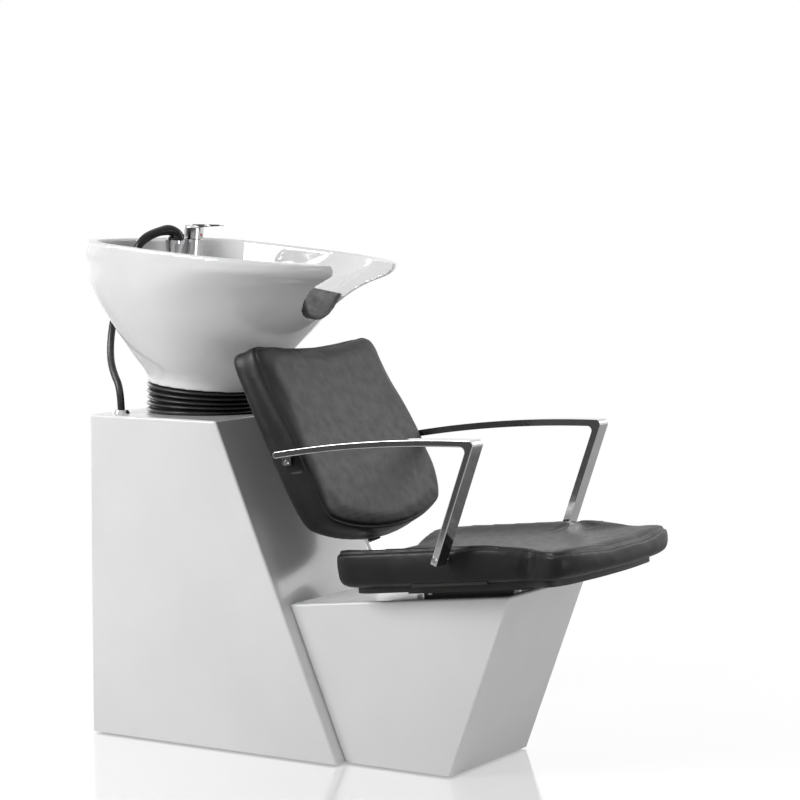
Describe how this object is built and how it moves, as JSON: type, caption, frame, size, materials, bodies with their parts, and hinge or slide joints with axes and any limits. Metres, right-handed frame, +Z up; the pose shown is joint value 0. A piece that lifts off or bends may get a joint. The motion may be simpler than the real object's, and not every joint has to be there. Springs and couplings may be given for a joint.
{
  "type": "shampoo chair",
  "caption": "Salon backwash unit: upholstered chair with chrome arms on a lacquered base, with a tilting ceramic basin, mixer tap and hand shower behind it.",
  "frame": {"origin": "on the floor, at the centre of the four anchor holes of the floor frame", "axes": "+Z up, -Y the way the sitter faces, +X to the sitter's left"},
  "size_m": [0.5484, 1.1543, 1.0309],
  "materials": {
    "casing": "gloss lacquer on glass-fibre",
    "ceramic": "white glaze",
    "leather": "black, soft sheen",
    "chrome": "polished",
    "bright_bolts": "zinc plated",
    "black_steel": "black powder coat",
    "bellows_rubber": "matt moulded",
    "neck_rubber": "matt dark grey",
    "hose_rubber": "satin",
    "black_plastic": "satin",
    "white_plastic": "moulded",
    "plywood": "stained black",
    "marker": "gloss"
  },
  "bodies": {
    "base": {"pedestal_shell": "casing", "plinth_shell": "casing", "service_panel": "casing", "seat_cushion": "leather", "back_cushion": "leather", "arm_left": "chrome", "arm_right": "chrome", "back_spine": "chrome", "hose_grommet": "chrome", "arm_foot_bolts": "bright_bolts", "arm_rear_bolts": "bright_bolts", "plate_bolts": "bright_bolts", "spine_bolts": "bright_bolts", "riser_bolts": "bright_bolts", "yoke_bolts": "bright_bolts", "panel_screws": "bright_bolts", "tilt_pins": "bright_bolts", "seat_riser": "black_steel", "seat_plate": "black_steel", "floor_frame": "black_steel", "basin_stand": "black_steel", "seat_stand": "black_steel", "tilt_yoke": "black_steel", "bellows": "bellows_rubber", "seat_board": "plywood", "back_board": "plywood"},
    "tilting_basin": {"basin": "ceramic", "neck_rest": "neck_rubber", "basin_bracket": "black_steel", "waste_fitting": "chrome", "waste_nut": "white_plastic", "waste_tail": "white_plastic", "mixer_body": "chrome", "mixer_nut": "bright_bolts", "shower_holder": "chrome", "holder_nut": "bright_bolts", "hose_bush": "chrome", "hose_elbow": "black_plastic", "shower_hose": "hose_rubber"},
    "mixer_spindle": {"mixer_cartridge": "black_plastic"},
    "mixer_handle": {"mixer_lever": "chrome", "lever_dot": "marker"},
    "shower_handset": {"hand_shower": "black_plastic", "spray_face": "chrome", "hose_stub": "hose_rubber"},
    "hair_trap_piece": {"hair_trap": "chrome"}
  },
  "joints": [
    {"name": "basin_tilt", "type": "hinge", "parent": "base", "child": "tilting_basin", "pos_m": [0, 0.257, 0.685], "axis": [1, 0, 0], "range_deg": [-10, 6], "deforming": ["bellows", "shower_hose"]},
    {"name": "mixer_swivel", "type": "hinge", "parent": "tilting_basin", "child": "mixer_spindle", "pos_m": [0.058, 0.33348, 0.94317], "axis": [0, -0.0924, 0.9957], "range_deg": [-40, 40]},
    {"name": "lever_lift", "type": "hinge", "parent": "mixer_spindle", "child": "mixer_handle", "pos_m": [0.058, 0.32683, 1.01486], "axis": [-1, 0, 0], "range_deg": [0, 15]},
    {"name": "shower_lift", "type": "slide", "parent": "tilting_basin", "child": "shower_handset", "axis": [0, -0.0924, 0.9957], "range_m": [0, 0.04]},
    {"name": "trap_lift", "type": "slide", "parent": "tilting_basin", "child": "hair_trap_piece", "axis": [0, -0.0924, 0.9957], "range_m": [0, 0.06]}
  ]
}
